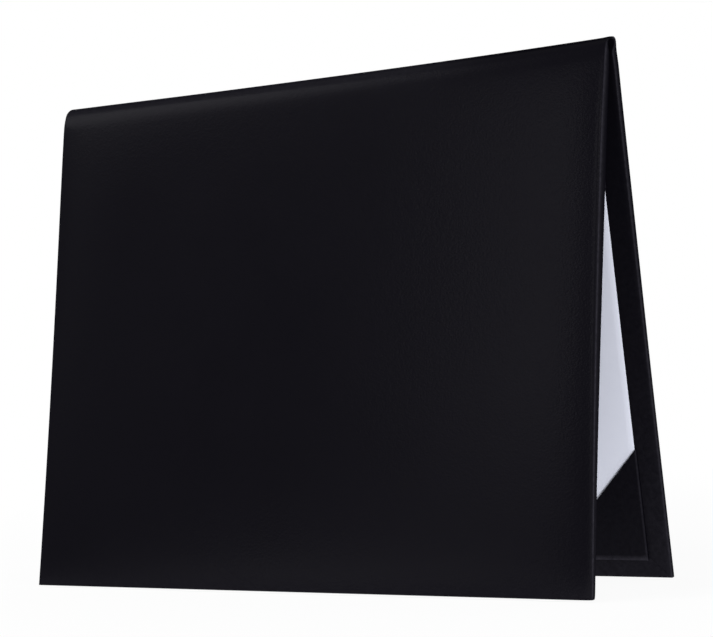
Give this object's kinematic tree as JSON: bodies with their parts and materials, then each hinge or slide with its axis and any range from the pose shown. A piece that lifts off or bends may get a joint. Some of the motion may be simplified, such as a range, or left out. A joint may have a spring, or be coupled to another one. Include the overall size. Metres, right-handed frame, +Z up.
{
  "type": "diploma cover",
  "caption": "Landscape padded diploma cover standing as a tent, with a soft fold, lined inner panels, folded corner pockets and a blank letter-size sheet.",
  "frame": {"origin": "on the surface the cover stands on, under the middle of the standing tent", "axes": "+X along the fold, +Y towards the back cover that holds the sheet, +Z up"},
  "size_m": [0.3048, 0.0814, 0.2397],
  "materials": {
    "leatherette": "satin",
    "lined_board": "matte",
    "greyboard": "matte",
    "foam": "matte",
    "white_card": "matte"
  },
  "bodies": {
    "back_cover": {"back_cover_skin": "leatherette", "back_foam_pad": "foam", "back_board": "greyboard", "back_hinge_strip": "leatherette", "back_inner_panel": "lined_board", "insert_sheet": "white_card", "corner_pocket_lower_left": "leatherette", "corner_pocket_lower_right": "leatherette", "corner_pocket_upper_left": "leatherette", "corner_pocket_upper_right": "leatherette"},
    "spine": {"spine_cover": "leatherette", "spine_lining": "leatherette"},
    "front_cover": {"front_cover_skin": "leatherette", "front_foam_pad": "foam", "front_board": "greyboard", "front_hinge_strip": "leatherette", "front_inner_panel": "lined_board"}
  },
  "joints": [
    {"name": "back_crease", "type": "hinge", "parent": "back_cover", "child": "spine", "pos_m": [0, 0.0052, 0.23912], "axis": [-1, 0, 0], "range_deg": [-8.5, 81.5]},
    {"name": "front_crease", "type": "hinge", "parent": "spine", "child": "front_cover", "pos_m": [0, -0.0052, 0.23912], "axis": [-1, 0, 0], "range_deg": [-8.5, 81.5]}
  ],
  "couplings": [
    {"joint": "front_crease", "follows": "back_crease", "ratio": 1}
  ]
}
